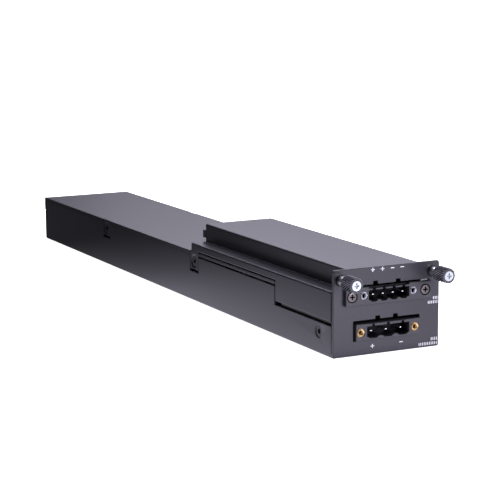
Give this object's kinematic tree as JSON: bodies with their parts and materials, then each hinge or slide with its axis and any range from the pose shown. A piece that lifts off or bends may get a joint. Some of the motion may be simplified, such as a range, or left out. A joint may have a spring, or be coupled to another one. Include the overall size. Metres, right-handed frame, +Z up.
{
  "type": "power supply module",
  "caption": "Plug-in DC power module: long low black sheet-metal case with a raised front, two captive thumbscrews, two screw-flange terminal headers and a rear blind-mate connector.",
  "frame": {"origin": "under the middle of the module, on its underside", "axes": "+X to the right seen from the front, +Y from the front panel to the rear, +Z up"},
  "size_m": [0.0546, 0.3746, 0.0394],
  "materials": {
    "black_powder_coat": "satin black powder coat",
    "black_steel": "blackened steel",
    "nickel_plate": "nickel plate",
    "bright_steel": "bright zinc plate",
    "black_anodised": "black anodised",
    "spring_steel": "drawn wire",
    "black_polyamide": "moulded",
    "tinned_pins": "tin plate",
    "brass_inserts": "turned",
    "zinc_screws": "passivated zinc plate",
    "circuit_board": "solder mask",
    "brass_posts": "nickelled brass",
    "clear_film": "polyester film",
    "fuse_glass": "glass tube",
    "ferrite": "sintered ferrite",
    "copper_wire": "enamelled copper",
    "capacitor_can": "sleeved can",
    "capacitor_box": "moulded box",
    "winding_tape": "polyester tape",
    "bare_aluminium": "extruded",
    "black_epoxy": "moulded epoxy",
    "grey_silicone": "filled silicone",
    "gold_contacts": "gold plate"
  },
  "bodies": {
    "module": {"base_tray": "black_powder_coat", "low_cover": "black_powder_coat", "front_cover": "black_powder_coat", "nut_plates": "black_steel", "side_screws": "black_steel", "tab_screws": "black_steel", "flap_screws": "black_steel", "left_ferrule": "nickel_plate", "right_ferrule": "nickel_plate", "upper_header": "black_polyamide", "lower_header": "black_polyamide", "upper_header_pins": "tinned_pins", "lower_header_pins": "tinned_pins", "upper_header_inserts": "nickel_plate", "lower_header_inserts": "brass_inserts", "upper_header_screws": "zinc_screws", "main_board": "circuit_board", "auxiliary_board": "circuit_board", "board_standoffs": "brass_posts", "auxiliary_standoffs": "brass_posts", "board_screws": "zinc_screws", "auxiliary_screws": "zinc_screws", "transistor_screws": "zinc_screws", "insulating_sheet": "clear_film", "board_link": "black_polyamide", "board_link_pins": "tinned_pins", "fuse": "fuse_glass", "fuse_clips": "tinned_pins", "input_choke_core": "ferrite", "output_choke_core": "ferrite", "input_choke_winding": "copper_wire", "output_choke_winding": "copper_wire", "bulk_capacitors": "capacitor_can", "output_capacitors": "capacitor_can", "film_capacitors": "capacitor_box", "transformer_core_front": "ferrite", "transformer_core_rear": "ferrite", "transformer_winding": "winding_tape", "heatsink": "bare_aluminium", "power_transistors": "black_epoxy", "transistor_pads": "grey_silicone", "controller_chips": "black_epoxy", "rear_connector": "black_polyamide", "rear_contacts": "gold_contacts"},
    "left_spring_end": {"left_spring": "spring_steel"},
    "left_thumbscrew": {"left_knob": "black_anodised", "left_screw": "bright_steel"},
    "right_spring_end": {"right_spring": "spring_steel"},
    "right_thumbscrew": {"right_knob": "black_anodised", "right_screw": "bright_steel"}
  },
  "joints": [
    {"name": "left_thumbscrew_push", "type": "slide", "parent": "module", "child": "left_spring_end", "axis": [0, 1, 0], "range_m": [0, 0.0042], "stiffness_N_per_m": 500, "springref_m": -0.003, "deforming": ["left_spring"]},
    {"name": "left_thumbscrew_turn", "type": "hinge", "parent": "left_spring_end", "child": "left_thumbscrew", "pos_m": [-0.0236, -0.1736, 0.0347], "axis": [0, 1, 0], "continuous": true},
    {"name": "right_thumbscrew_push", "type": "slide", "parent": "module", "child": "right_spring_end", "axis": [0, 1, 0], "range_m": [0, 0.0042], "stiffness_N_per_m": 500, "springref_m": -0.003, "deforming": ["right_spring"]},
    {"name": "right_thumbscrew_turn", "type": "hinge", "parent": "right_spring_end", "child": "right_thumbscrew", "pos_m": [0.0236, -0.1736, 0.0347], "axis": [0, 1, 0], "continuous": true}
  ]
}
